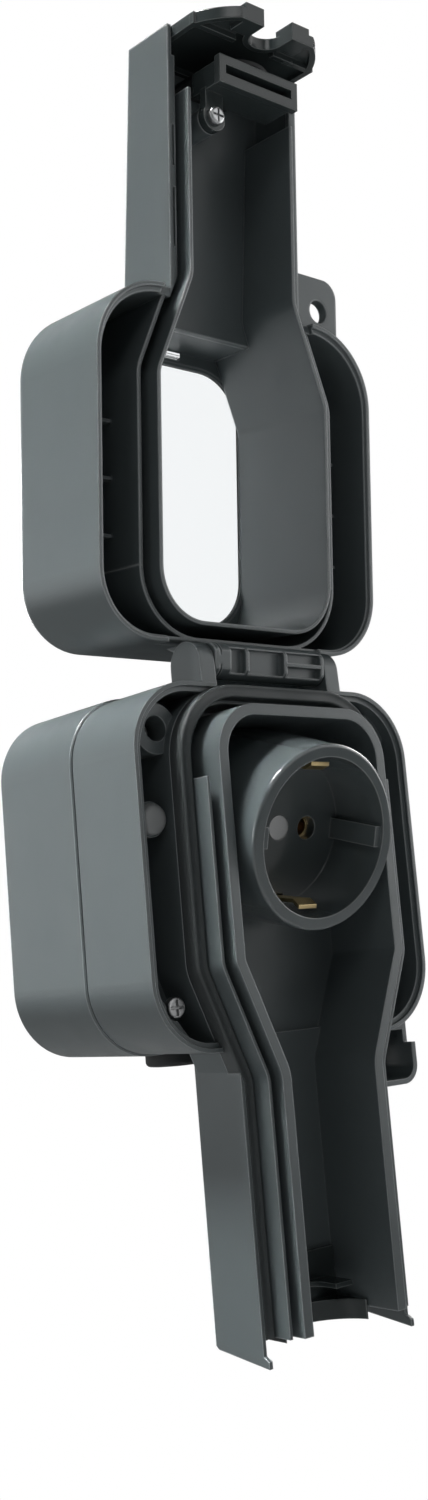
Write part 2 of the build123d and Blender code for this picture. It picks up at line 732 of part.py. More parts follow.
# Padlock ear of the cover, on the neck and against the shell's end
cover_ear_low = padlock_low - cover_ear_extra
ear = ear_plate(hollow_half, padlock_outer, cover_ear_low, neck_top, padlock_round) - cover_outline(0, 0)
neck += at_depth(ear, cover_ear_depth, cover_ear_depth + cover_ear_thickness)
neck -= blade_way
neck -= rod(padlock_x, padlock_z, padlock_hole, cover_ear_depth, cover_ear_depth + cover_ear_thickness)

# Screw boss for the slotted block
boss_front = lug_front + lug_plate
boss_back = neck_front(lug_screw_z, neck_front_wall / 2)
neck += rod(lug_screw_x, lug_screw_z, lug_radius, boss_front, boss_back)
hole_end = lug_front + latch_screw_length + thread_clearance
neck -= rod(lug_screw_x, lug_screw_z, latch_screw_radius + thread_clearance, boss_front, hole_end)
lid_neck = neck

# Outer rib, which meets the soft band: its bend runs into the hinge wall and its sides carry webs
rib = at_depth(keyhole_band(rib_inset, rib_back, cover_neck_end), rib_tip, cover_floor)
rib_bend = seal_top - seal_corner
lid += rib & block(-far, far, 0, far, rib_bend, far)
rib &= block(-far, far, 0, far, neck_top, rib_bend)
web_inside = seal_half_width - rib_inset - rib_thickness / 2
web_outside = cover_half - cover_wall
for level in web_levels:
    web = block(web_inside, web_outside, web_depth, cover_floor, level, level + web_thickness)
    rib += mirrored(web)

# Inner keyhole wall, which enters the channel of the base
wall_band = keyhole_band(wall_inset, wall_inset + inner_wall, inner_wall_end)
wall = at_depth(wall_band, inner_wall_tip, cover_floor)
wall &= (before_neck_front(neck_front_wall, inner_wall_end, neck_top)
         + block(-far, far, 0, far, neck_top, far))
lid_ribs = group(rib, wall)

# Hinge knuckle on its web, with the cored pockets in its back
knuckle_middle = hinge_height - knuckle_drop
knuckle_profile = Pos(hinge_depth, knuckle_middle) * Circle(knuckle_radius)
knuckle_profile += Polygon((hinge_depth, knuckle_middle - knuckle_radius), (hinge_notch_depth, cover_top),
                           (hinge_notch_depth, cover_top - cover_wall / 2),
                           (hinge_web_depth, cover_top - cover_wall / 2), (hinge_web_depth, cover_top),
                           (hinge_depth + knuckle_radius, knuckle_middle), align=None)
knuckle = across(knuckle_profile, -knuckle_half, knuckle_half)
flat_depth = hinge_depth - knuckle_flat
knuckle -= block(-far, far, 0, flat_depth, -far, far)
pocket_z = knuckle_flat - knuckle_wall
pocket_low = knuckle_middle - pocket_z
pocket_high = knuckle_middle + pocket_z
pocket_back = hinge_depth - pocket_floor
pocket_end = pocket_start + pocket_width
saddle_start = pocket_end + knuckle_wall
saddle_end = saddle_start + saddle_width
grille_start = saddle_end + knuckle_wall
grille_end = knuckle_half - knuckle_wall
knuckle -= block(pocket_start, pocket_end, flat_depth, pocket_back, pocket_low, pocket_high)
saddle = block(saddle_start, saddle_end, flat_depth, pocket_back, pocket_low, pocket_high)
knuckle -= saddle & upright(Pos(saddle_end, flat_depth) * Circle(saddle_width), pocket_low, pocket_high)
for low in (pocket_low, knuckle_middle + knuckle_wall / 2):
    high = low + pocket_z - knuckle_wall / 2
    knuckle -= block(grille_start, grille_end, flat_depth, pocket_back, low, high)
collar_groove = Pos(hinge_depth, knuckle_middle) * (Circle(far) - Circle(knuckle_radius - knuckle_wall / 2))
groove_start = flange_width - knuckle_half
knuckle -= across(collar_groove, groove_start, groove_start + knuckle_wall / 2) & block(
    -far, far, 0, hinge_depth, -far, far)
lid += knuckle
lid -= across(Pos(hinge_depth, hinge_height) * Circle(pin_radius + pin_running), -far, far)

# Window opening with its outer recess, and slots for the pane's lugs
window_half_width = side_edge - window_side_gap
window_high = cover_top - window_top_gap
window_low = cover_bottom + window_end_gap
window_middle = (window_high + window_low) / 2
window_width = 2 * window_half_width
window_height = window_high - window_low
recess_front = cover_depth - window_recess
window_room = frame(window_width, window_height, window_corner, 0, window_middle)
lid -= at_depth(window_room, cover_floor, cover_depth)
pane_room = frame(window_width, window_height, window_corner, -window_ledge, window_middle)
lid -= at_depth(pane_room, recess_front, cover_depth)
ring_back = recess_front - window_seal_thickness
ring_outline = frame(window_width, window_height, window_corner, -window_seal_width, window_middle)
lid -= at_depth(ring_outline, ring_back, recess_front)
slot_depth = lug_thickness + 2 * lug_slot_gap
slot_width = lug_width + 2 * lug_slot_gap
end_slot_width = end_lug_width + 2 * lug_slot_gap
side_lugs = [(side * (window_half_width + lug_place), window_middle) for side in (-1, 1)]
end_lugs = [(0, window_high + lug_end_place), (0, window_low - lug_end_place)]
for x, z in side_lugs:
    lid -= at_depth(Pos(x, z) * Rectangle(slot_depth, slot_width), cover_floor, cover_depth)
for x, z in end_lugs:
    lid -= at_depth(Pos(x, z) * Rectangle(end_slot_width, slot_depth), cover_floor, cover_depth)

# Window ring, in the step round the opening, and pane
window_seal = at_depth(ring_outline - window_room, ring_back, recess_front)
pane_front = cover_depth + window_proud
pane = at_depth(frame(window_width, window_height, window_corner, window_gap - window_ledge, window_middle),
                recess_front, pane_front)
pane = chamfer(pane.faces().sort_by(Axis.Y)[0].edges(), window_proud)
lug_tip = cover_floor - lug_reach
for x, z in side_lugs:
    pane += at_depth(Pos(x, z) * Rectangle(lug_thickness, lug_width), lug_tip, recess_front)
for x, z in end_lugs:
    pane += at_depth(Pos(x, z) * Rectangle(end_lug_width, lug_thickness), lug_tip, recess_front)
window_pane = pane

# Slotted block: front flange, narrower waist and a screw lug on the left
flange_back = block_front + block_flange
latch = block(-block_half_width, block_half_width, block_front, flange_back, block_low, block_high)
latch += block(-block_half_width + block_waist, block_half_width - block_waist, block_front, block_back,
               block_low + block_waist, block_high - block_waist)
slot_end = block_front + slot_length
latch -= block(-slot_half_width, slot_half_width, block_front, slot_end, slot_low, slot_high)
strip_half = lug_radius - block_waist
latch += rod(lug_screw_x, lug_screw_z, lug_radius, lug_front, boss_front)
latch += block(lug_screw_x - strip_half, lug_screw_x + strip_half, lug_front, boss_front,
               block_high - 2 * block_waist, lug_screw_z)
latch_hole = latch_screw_radius + thread_clearance
latch_block = latch - rod(lug_screw_x, lug_screw_z, latch_hole, lug_front, boss_front)

# Its cross-recess screw
cross_depth = lug_front - latch_head_height
head = rod(lug_screw_x, lug_screw_z, latch_head_radius, cross_depth, lug_front)
head = fillet(head.faces().sort_by(Axis.Y)[-1].edges(), latch_head_height / 2)
cross_length = 2 * (latch_head_radius - cross_slot)
cross = Rectangle(cross_length, cross_slot) + Rectangle(cross_slot, cross_length)
head -= at_depth(Pos(lug_screw_x, lug_screw_z) * cross, cross_depth, cross_depth + latch_head_height / 2)
latch_tip = lug_front + latch_screw_length
latch_screw = head + rod(lug_screw_x, lug_screw_z, latch_screw_radius, lug_front, latch_tip)

# Soft tongue below the block, with a round end
flap_high = block_low - flap_gap
flap_low = flap_high - flap_thickness
flap_round = flap_front + flap_half_width
flap_outline = Pos(0, flap_round) * Circle(flap_half_width)
flap_back = neck_front(flap_low, neck_front_wall)
flap_outline += Pos(0, (flap_round + flap_back) / 2) * Rectangle(2 * flap_half_width, flap_back - flap_round)
cable_flap = upright(flap_outline, flap_low, flap_high)
cable_flap &= before_neck_front(neck_front_wall, flap_low, flap_high)

# Horned gate: half-round end cup with a notch, carried back to the neck's front
gate_low = cover_neck_end + gate_setback
gate_high = cover_neck_end + gate_height
gate_half = hollow_half - gate_side_gap
gate_back = neck_front(gate_high, neck_front_wall)
gate_outline = Pos(0, gate_centre) * Circle(gate_radius)
gate_outline &= Pos(0, gate_front + far / 2) * Rectangle(2 * gate_half, far)
gate_outline &= Pos(0, gate_centre - far / 2) * Rectangle(far, far)
gate_outline += Pos(0, (gate_centre + gate_back) / 2) * Rectangle(2 * gate_half, gate_back - gate_centre)
notch_outline = Pos(0, gate_notch_floor - gate_notch) * Circle(gate_notch)
notch_outline += Pos(0, gate_notch_floor - gate_notch - far / 2) * Rectangle(2 * gate_notch, far)
cup = offset(gate_outline - notch_outline, -gate_rim)
gate = upright(gate_outline - notch_outline, gate_low, gate_high)
gate -= upright(cup, gate_low + gate_plate, gate_high)
rib_back_face = gate_notch_floor + gate_rim
gate_rib = block(gate_notch + gate_rim, gate_half, gate_notch_floor, rib_back_face, gate_low, gate_high)
gate += mirrored(gate_rib)
horn_low = gate_low - horn_reach
horn = block(gate_notch, gate_notch + horn_width, gate_front, gate_front + horn_length, horn_low, gate_high)
gate += mirrored(horn & upright(gate_outline, horn_low, gate_high))
cable_gate = gate & before_neck_front(neck_front_wall, horn_low, gate_high)

# The cover and all that it carries, swung up to rest on the hinge
swing = Pos(0, -hinge_depth, hinge_height) * Rot(-open_angle, 0, 0) * Pos(0, hinge_depth, -hinge_height)
cover_pieces = {
    "lid_shell": lid,
    "lid_neck": lid_neck,
    "lid_ribs": lid_ribs,
    "window_seal": window_seal,
    "window_pane": window_pane,
    "latch_block": latch_block,
    "latch_screw": latch_screw,
    "cable_flap": cable_flap,
    "cable_gate": cable_gate,
}
nodes = {
    "rear_box": rear_box,
    "box_seal": box_seal,
    "entry_grommets": entry_grommets,
    "front_housing": front_housing,
    "upper_screws": upper_screws,
    "lower_screws": lower_screws,
    "side_caps": side_caps,
    "hinge_pin": hinge_pin,
    "keyhole_seal": keyhole_seal,
    "socket_cover": socket_cover,
    "socket_body": socket_body,
    "pin_contacts": pin_contacts,
    "earth_clip": earth_clip,
    "centre_screw": centre_screw,
    "terminal_screws": terminal_screws,
    "cable_cradle": cable_cradle,
}
for name, piece in cover_pieces.items():
    nodes[name] = group(*[swing * solid for solid in piece.solids()])

os.makedirs("parts", exist_ok=True)
for name, piece in nodes.items():
    export_step(piece, f"parts/{name}.step")
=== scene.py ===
import json
import math

import bmesh
import bpy
import numpy as np
from mathutils import Matrix, Vector


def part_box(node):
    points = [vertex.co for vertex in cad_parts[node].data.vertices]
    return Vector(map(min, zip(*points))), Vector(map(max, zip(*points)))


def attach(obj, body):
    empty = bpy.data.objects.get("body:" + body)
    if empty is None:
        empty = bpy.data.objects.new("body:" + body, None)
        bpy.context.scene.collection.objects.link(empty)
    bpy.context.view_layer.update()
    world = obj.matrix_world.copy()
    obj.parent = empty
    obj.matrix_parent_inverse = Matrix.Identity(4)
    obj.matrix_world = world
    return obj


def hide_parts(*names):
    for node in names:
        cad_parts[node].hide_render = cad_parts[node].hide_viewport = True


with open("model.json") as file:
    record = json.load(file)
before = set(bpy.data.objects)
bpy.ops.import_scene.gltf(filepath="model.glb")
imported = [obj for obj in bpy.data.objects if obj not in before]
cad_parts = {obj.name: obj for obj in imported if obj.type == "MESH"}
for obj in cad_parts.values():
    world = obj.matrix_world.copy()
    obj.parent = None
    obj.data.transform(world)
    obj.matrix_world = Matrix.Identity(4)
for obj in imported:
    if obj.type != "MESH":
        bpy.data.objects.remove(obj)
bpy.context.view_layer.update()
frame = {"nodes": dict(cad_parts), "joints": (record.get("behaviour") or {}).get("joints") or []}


# Back box
# Deep tray of glass-filled slate plastic, injection moulded with a fine spark-eroded grain.
# It is screwed flat to the wall and carries everything else.
def add_socket(group, kind, name, way):
    """One named socket on a shader node group."""
    group.interface.new_socket(name=name, in_out=way, socket_type=kind)


def noise_of(tree, position, **settings):
    """A noise of a position, with its settings given by socket name."""
    noise = tree.nodes.new("ShaderNodeTexNoise")
    for name, value in settings.items():
        noise.inputs[name].default_value = value
    tree.links.new(position, noise.inputs["Vector"])
    return noise


grain_detail = 3.0
grain_roughness = 0.62
flow_scale = 26.0
flow_detail = 2.0
flow_distortion = 0.6
smear_scale = 85.0
smear_detail = 4.0


def build_moulded_grain():
    """Group: grain as a height, a slow flow tone and patchy gloss, from three noises of one position."""
    group = bpy.data.node_groups.new("moulded_grain", "ShaderNodeTree")
    add_socket(group, "NodeSocketVector", "Position", "INPUT")
    add_socket(group, "NodeSocketFloat", "Grain Scale", "INPUT")
    for name in ("Height", "Tone", "Gloss"):
        add_socket(group, "NodeSocketFloat", name, "OUTPUT")
    come = group.nodes.new("NodeGroupInput")
    go = group.nodes.new("NodeGroupOutput")
    position = come.outputs["Position"]
    grain = noise_of(group, position, Detail=grain_detail, Roughness=grain_roughness)
    flow = noise_of(group, position, Scale=flow_scale, Detail=flow_detail, Distortion=flow_distortion)
    smear = noise_of(group, position, Scale=smear_scale, Detail=smear_detail)
    group.links.new(come.outputs["Grain Scale"], grain.inputs["Scale"])
    group.links.new(grain.outputs["Fac"], go.inputs["Height"])
    group.links.new(flow.outputs["Fac"], go.inputs["Tone"])
    group.links.new(smear.outputs["Fac"], go.inputs["Gloss"])
    return group


def spread_of(tree, value, start, end, low=0.0, high=1.0, step="LINEAR"):
    """A value's stretch from start to end laid over low to high, and held beyond both ends."""
    spread = tree.nodes.new("ShaderNodeMapRange")
    spread.interpolation_type = step
    spread.inputs["From Min"].default_value = start
    spread.inputs["From Max"].default_value = end
    spread.inputs["To Min"].default_value = low
    spread.inputs["To Max"].default_value = high
    tree.links.new(value, spread.inputs["Value"])
    return spread.outputs["Result"]


def worked_out(tree, operation, first, second):
    """One sum of two values: their product, their total or the larger, as the operation says."""
    step = tree.nodes.new("ShaderNodeMath")
    step.operation = operation
    tree.links.new(first, step.inputs[0])
    tree.links.new(second, step.inputs[1])
    return step.outputs["Value"]


edge_samples = 6
turn_start = 0.995
turn_full = 0.88
corner_reach = 0.0008
corner_shut = 0.65
corner_open = 0.95


def build_eased_edge():
    """Group: a normal that runs round the edges at a small radius, and a mask of the outer edges.

    The mask is where that normal leaves the face's own, by the cosine between them, times the openness
    of the place, so that inner corners stay out of it.
    """
    group = bpy.data.node_groups.new("eased_edge", "ShaderNodeTree")
    add_socket(group, "NodeSocketFloat", "Radius", "INPUT")
    add_socket(group, "NodeSocketVector", "Normal", "OUTPUT")
    add_socket(group, "NodeSocketFloat", "Edge", "OUTPUT")
    come = group.nodes.new("NodeGroupInput")
    go = group.nodes.new("NodeGroupOutput")
    bevel = group.nodes.new("ShaderNodeBevel")
    bevel.samples = edge_samples
    group.links.new(come.outputs["Radius"], bevel.inputs["Radius"])
    face = group.nodes.new("ShaderNodeNewGeometry")
    turn = group.nodes.new("ShaderNodeVectorMath")
    turn.operation = "DOT_PRODUCT"
    group.links.new(bevel.outputs["Normal"], turn.inputs[0])
    group.links.new(face.outputs["Normal"], turn.inputs[1])
    corner = group.nodes.new("ShaderNodeAmbientOcclusion")
    corner.samples = edge_samples
    corner.only_local = True
    corner.inputs["Distance"].default_value = corner_reach
    leaves = spread_of(group, turn.outputs["Value"], turn_start, turn_full)
    is_open = spread_of(group, corner.outputs["AO"], corner_shut, corner_open)
    group.links.new(bevel.outputs["Normal"], go.inputs["Normal"])
    group.links.new(worked_out(group, "MULTIPLY", leaves, is_open), go.inputs["Edge"])
    return group


moulded_grain = build_moulded_grain()
eased_edge = build_eased_edge()
noise_low = 0.3
noise_high = 0.7
plastic_ior = 1.56


def gloss_of(tree, grain, smooth, dull):
    """Roughness in patches: the middle stretch of the gloss noise laid over two limits."""
    return spread_of(tree, grain.outputs["Gloss"], noise_low, noise_high, smooth, dull)


def two_tones(tree, factor, first, second):
    """A colour between two, by a factor. Each may be a colour or another node's output."""
    mix = tree.nodes.new("ShaderNodeMix")
    mix.data_type = "RGBA"
    tree.links.new(factor, mix.inputs["Factor"])
    for name, colour in (("A", first), ("B", second)):
        into = [s for s in mix.inputs if s.name == name and s.type == "RGBA"][0]
        if isinstance(colour, bpy.types.NodeSocket):
            tree.links.new(colour, into)
        else:
            into.default_value = (*colour, 1.0)
    return [s for s in mix.outputs if s.type == "RGBA"][0]


def placed_grain(tree):
    """The moulded grain, placed by Object coordinates."""
    place = tree.nodes.new("ShaderNodeTexCoord")
    grain = tree.nodes.new("ShaderNodeGroup")
    grain.node_tree = moulded_grain
    tree.links.new(place.outputs["Object"], grain.inputs["Position"])
    return grain


def moulded_plastic(name, dark, light, edge_wear_and_highlight, gloss, grain_scale, grain_height, edge_radius):
    """Moulded plastic: two near tones in a slow flow, outer edges turned to a third tone, gloss in patches
    between two limits, a fine grain as bump, and edges eased to a radius. The edge tone stands for wear, and
    where it is far paler than the body it is also a painted highlight along the rims.
    """
    material = bpy.data.materials.new(name)
    material.use_nodes = True
    tree = material.node_tree
    shader = tree.nodes["Principled BSDF"]
    shader.inputs["IOR"].default_value = plastic_ior
    grain = placed_grain(tree)
    grain.inputs["Grain Scale"].default_value = grain_scale
    edge = tree.nodes.new("ShaderNodeGroup")
    edge.node_tree = eased_edge
    edge.inputs["Radius"].default_value = edge_radius
    flowing = two_tones(tree, grain.outputs["Tone"], dark, light)
    tree.links.new(two_tones(tree, edge.outputs["Edge"], flowing, edge_wear_and_highlight), shader.inputs["Base Color"])
    tree.links.new(gloss_of(tree, grain, *gloss), shader.inputs["Roughness"])
    bump = tree.nodes.new("ShaderNodeBump")
    bump.inputs["Strength"].default_value = 1.0
    bump.inputs["Distance"].default_value = grain_height
    tree.links.new(grain.outputs["Height"], bump.inputs["Height"])
    tree.links.new(edge.outputs["Normal"], bump.inputs["Normal"])
    tree.links.new(bump.outputs["Normal"], shader.inputs["Normal"])
    return material


def dress(material, *names):
    """Puts a material on carried-over CAD nodes."""
    for name in names:
        slots = frame["nodes"][name].data.materials
        slots.clear()
        slots.append(material)


slate_dark = (0.101, 0.121, 0.126)
slate_light = (0.116, 0.138, 0.143)
slate_gloss = (0.30, 0.42)
slate_grain = 2600.0
slate_grain_height = 0.00003
# The casing's edge tone is about four times as pale as its body: partly wear, partly a painted highlight
# along its rims.
casing_wear_and_highlight = (0.40, 0.43, 0.44)
casing_edge = 0.0005
slate_casing = moulded_plastic("slate_casing", slate_dark, slate_light, casing_wear_and_highlight, slate_gloss,
                               slate_grain, slate_grain_height, casing_edge)
dress(slate_casing, "rear_box")


# Entry grommets
# Two soft black rubber membranes pressed into the underside of the back box, moulded in one piece each:
# a thick outer flange with a stepped face, a neck and an inner lip.
def grid_faces(rows, columns, closed_rows, closed_columns):
    """Quads between neighbours of a grid of points, joined back to the start where a direction is closed."""
    r = np.arange(rows if closed_rows else rows - 1)
    c = np.arange(columns if closed_columns else columns - 1)
    r, c = np.meshgrid(r, c, indexing="ij")
    r2 = (r + 1) % rows
    c2 = (c + 1) % columns
    corners = (r * columns + c, r * columns + c2, r2 * columns + c2, r2 * columns + c)
    return np.stack(corners, axis=-1).reshape(-1, 4)


merge_distance = 0.000001
crease_angle = math.radians(38)


def new_piece(name, points, faces, material, body, node):
    """A mesh of points and faces that rides on a body and stands for a CAD node, or for none.

    Points that fall together, at poles and seams, become one. Faces point outwards and are shaded smooth,
    with a crease where two of them meet at more than the crease angle.
    """
    mesh = bpy.data.meshes.new(name)
    mesh.from_pydata(points.reshape(-1, 3).tolist(), [], faces)
    shell = bmesh.new()
    shell.from_mesh(mesh)
    bmesh.ops.remove_doubles(shell, verts=shell.verts, dist=merge_distance)
    bmesh.ops.dissolve_degenerate(shell, edges=shell.edges, dist=merge_distance)
    bmesh.ops.recalc_face_normals(shell, faces=shell.faces)
    shell.to_mesh(mesh)
    shell.free()
    mesh.polygons.foreach_set("use_smooth", np.ones(len(mesh.polygons), dtype=bool))
    mesh.set_sharp_from_angle(angle=crease_angle)
    mesh.materials.append(material)
    made = bpy.data.objects.new(name, mesh)
    bpy.context.scene.collection.objects.link(made)
    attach(made, body)
    if node:
        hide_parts(node)


rubber_grain = 1900.0
rubber_grain_height = 0.00003
rubber_edge = 0.0002
rubber_ior = 1.45


def soft_rubber(name, colour, worn, gloss):
    """Matte moulded rubber: one dark tone with a dusty bloom in patches, a fine grain and little sheen."""
    material = moulded_plastic(name, colour, worn, worn, gloss,
                               rubber_grain, rubber_grain_height, rubber_edge)
    material.node_tree.nodes["Principled BSDF"].inputs["IOR"].default_value = rubber_ior
    return material


def revolved(profile, centre, steps):
    """Profile of radius and height turned about an upright axis.

    A point's place is the centre plus the radius times the angle's cosine and sine, at the profile's height.
    """
    angle = np.linspace(0, 2 * np.pi, steps, endpoint=False)
    radius, height = np.asarray(profile, dtype=float).T
    x = centre[0] + radius[:, None] * np.cos(angle)
    y = centre[1] + radius[:, None] * np.sin(angle)
    z = np.broadcast_to(height[:, None], x.shape)
    return np.stack((x, y, z), axis=-1)


black_tone = (0.020, 0.022, 0.023)
black_bloom = (0.034, 0.037, 0.038)
black_gloss = (0.55, 0.75)
black_rubber = soft_rubber("black_rubber", black_tone, black_bloom, black_gloss)
grommet_low, grommet_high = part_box("entry_grommets")
grommet_radius = (grommet_high[1] - grommet_low[1]) / 2
grommet_y = (grommet_high[1] + grommet_low[1]) / 2
grommet_x = grommet_high[0] - grommet_radius
grommet_steps = 48
box_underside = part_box("rear_box")[0][2]
tray_wall = 0.0024
neck_radius = 0.0054
lip_radius = 0.0065
flange_round = 0.0012
flange_steps = 6
step_height = 0.0006
step_radius = 0.0046
pierce_radius = 0.0012
membrane = 0.0010
inside_radius = 0.0044
face_low = grommet_low[2]
face_high = face_low + step_height
lip_low = box_underside + tray_wall
lip_high = grommet_high[2]
flange_corner = face_low + flange_round
ease = np.linspace(0, np.pi / 2, flange_steps)
flange_edge = np.stack((grommet_radius - flange_round + flange_round * np.sin(ease),
                        flange_corner - flange_round * np.cos(ease)), axis=1)
stepped_face = [(0.0, face_high), (pierce_radius, face_high), (pierce_radius + step_height, face_low),
                (step_radius - step_height, face_low), (step_radius, face_high),
                (step_radius + step_height, face_low)]
neck_and_lip = [(grommet_radius, box_underside), (neck_radius, box_underside), (neck_radius, lip_low),
                (lip_radius, lip_low), (lip_radius, lip_high - step_height),
                (lip_radius - step_height, lip_high), (inside_radius, lip_high),
                (inside_radius, face_high + membrane), (0.0, face_high + membrane)]
grommet_profile = np.array(stepped_face + flange_edge.tolist() + neck_and_lip)
pair = np.stack([revolved(grommet_profile, (x, grommet_y), grommet_steps) for x in (-grommet_x, grommet_x)])
quads = grid_faces(len(grommet_profile), grommet_steps, False, True)
both = np.concatenate((quads, quads + len(grommet_profile) * grommet_steps))
new_piece("grommet_rubber", pair, both.tolist(), black_rubber, "base", "entry_grommets")


# Joint ring
# Thin rubber ring, moulded to the box's outline, that lies loose in the step of the back box.
# The front housing squeezes it when its screws are pulled up.
def rounded_path(corners, rounds, closed, arc_steps):
    """Points of a polyline whose corners are arcs, with the normal on the left of the way along it.

    Each arc starts one tangent length before its corner, which is the round times the tangent of half the
    turn, and its centre lies one round to the side that the line turns to. An open line also has its ends.
    """
    corners = np.asarray(corners, dtype=float)
    before = corners - np.roll(corners, 1, axis=0)
    after = np.roll(corners, -1, axis=0) - corners
    before /= np.linalg.norm(before, axis=1, keepdims=True)
    after /= np.linalg.norm(after, axis=1, keepdims=True)
    cross = before[:, 0] * after[:, 1] - before[:, 1] * after[:, 0]
    turn = np.arctan2(cross, np.sum(before * after, axis=1))
    rounds = np.asarray(rounds, dtype=float)
    side = np.sign(turn)[:, None]
    left = np.stack((-before[:, 1], before[:, 0]), axis=1)
    start = corners - before * (rounds * np.tan(np.abs(turn) / 2))[:, None]
    centre = start + side * left * rounds[:, None]
    angle = turn[:, None] * np.linspace(0, 1, arc_steps)[None, :]
    cosine = np.cos(angle)[..., None]
    sine = np.sin(angle)[..., None]
    normal = left[:, None, :] * cosine - before[:, None, :] * sine
    points = centre[:, None, :] - side[:, None, :] * normal * rounds[:, None, None]
    if closed:
        return points.reshape(-1, 2), normal.reshape(-1, 2)
    first = np.stack((-after[0, 1:2], after[0, 0:1]), axis=1)
    last = left[-1:]
    points = np.concatenate((corners[:1], points[1:-1].reshape(-1, 2), corners[-1:]))
    return points, np.concatenate((first, normal[1:-1].reshape(-1, 2), last))


ring_steps = 14
section_steps = 5


def ring_path(half_width, low, high, corner):
    """Rounded rectangle, clockwise from its lower left corner, so that its normals point outwards."""
    corners = [(-half_width, low), (-half_width, high), (half_width, high), (half_width, low)]
    return rounded_path(corners, [corner] * 4, True, ring_steps)


def rounded_section(width, back, front, back_round, front_round):
    """Closed cross-section about its middle line, between two depths, rounded at its back and front."""
    half = width / 2
    corners = [(-half, back), (-half, front), (half, front), (half, back)]
    rounds = [back_round, front_round, front_round, back_round]
    return rounded_path(corners, rounds, True, section_steps)[0]


def swept(path, normals, section):
    """Section carried along a path in X and Z.

    A point's place is the path point plus the offset times the path's normal, at the section's own depth.
    """
    offset, depth = section[:, 0], section[:, 1]
    flat = path[:, None, :] + normals[:, None, :] * offset[None, :, None]
    deep = np.broadcast_to(depth[None, :], flat.shape[:2])
    return np.stack((flat[..., 0], -deep, flat[..., 1]), axis=-1)


def swept_faces(path, section, closed):
    """Quads between neighbours of a swept section, with a flat face at both ends of an open path."""
    rows, count = len(path), len(section)
    quads = grid_faces(rows, count, closed, True).tolist()
    if closed:
        return quads
    first_end = list(range(count))[::-1]
    last_end = list(range((rows - 1) * count, rows * count))
    return quads + [first_end, last_end]


ring_low, ring_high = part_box("box_seal")
ring_width = 0.0008
ring_corner = 0.0165
ring_inset = ring_width / 2
ring_round = ring_width / 4
path, normals = ring_path(ring_high[0] - ring_inset, ring_low[2] + ring_inset, ring_high[2] - ring_inset,
                          ring_corner)
section = rounded_section(ring_width, -ring_high[1], -ring_low[1], ring_round, ring_round)
new_piece("joint_ring_rubber", swept(path, normals, section), swept_faces(path, section, True), black_rubber,
          "base", "box_seal")

# Front housing
# One moulding with the inner plate, the keyhole walls, the neck, the hinge ears and the padlock ear.
# It is the casing's plastic, and four screws pull it back against the box.
dress(slate_casing, "front_housing")

# Hinge upstand
# Low wall on top of the housing, moulded with it between the ears and just behind the knuckle's swing.
# It closes the view through the hinge gap.
pin_depth = -frame["joints"][0]["pos_m"][1]
knuckle_reach = 0.0058
upstand_gap = 0.0010
upstand_wall = 0.0018
upstand_half = 0.0189
housing_top = 0.0450
upstand_root = 0.0002
upstand_rise = 0.0037
upstand_round = upstand_wall / 4
upstand_front = pin_depth - knuckle_reach - upstand_gap
upstand_height = upstand_rise + upstand_root
upstand_middle = housing_top - upstand_root + upstand_height / 2
path = np.array([(-upstand_half, upstand_middle), (upstand_half, upstand_middle)])
normals = np.array([(0.0, 1.0), (0.0, 1.0)])
section = rounded_section(upstand_height, upstand_front - upstand_wall, upstand_front, upstand_round,
                          upstand_round)
new_piece("hinge_upstand", swept(path, normals, section), swept_faces(path, section, False), slate_casing,
          "base", None)

# Housing screws
# Four pan-head screws of zinc-plated steel, cold headed with a cross recess.
# Two sit deep in wells and two on open ledges in the lower corners.
plating_grain = 900.0
plating_grain_height = 0.00001


def plated_metal(name, bright, dull, gloss, edge_radius):
    """Plated metal: two tones of plating in a slow cloud, scuffed gloss, a faint grain and eased edges."""
    material = moulded_plastic(name, bright, dull, bright, gloss,
                               plating_grain, plating_grain_height, edge_radius)
    material.node_tree.nodes["Principled BSDF"].inputs["Metallic"].default_value = 1.0
    return material


zinc_bright = (0.56, 0.57, 0.57)
zinc_dull = (0.42, 0.43, 0.44)
zinc_gloss = (0.28, 0.45)
zinc_edge = 0.00025
zinc_steel = plated_metal("zinc_steel", zinc_bright, zinc_dull, zinc_gloss, zinc_edge)
dress(zinc_steel, "upper_screws", "lower_screws")

# Side caps
# Domed plastic caps with stems, pressed into posts beside the keyhole wall.
# They are a paler grey than the casing, with a finer grain; part of that paleness is painted light, standing
# in for the light the caps catch.
# Partly the caps' own paler grey, partly painted light.
cap_dark = (0.350, 0.368, 0.372)
cap_light = (0.400, 0.418, 0.422)
cap_rubbed = (0.46, 0.48, 0.485)
cap_gloss = (0.34, 0.44)
cap_grain = 3400.0
cap_grain_height = 0.00002
cap_edge = 0.0003
cap_plastic = moulded_plastic("cap_plastic", cap_dark, cap_light, cap_rubbed, cap_gloss,
                              cap_grain, cap_grain_height, cap_edge)
dress(cap_plastic, "side_caps")

# Hinge pin
# Drawn steel rod, zinc plated as the screws are.
# It is pushed in from the right ear through the cover's knuckle.
dress(zinc_steel, "hinge_pin")

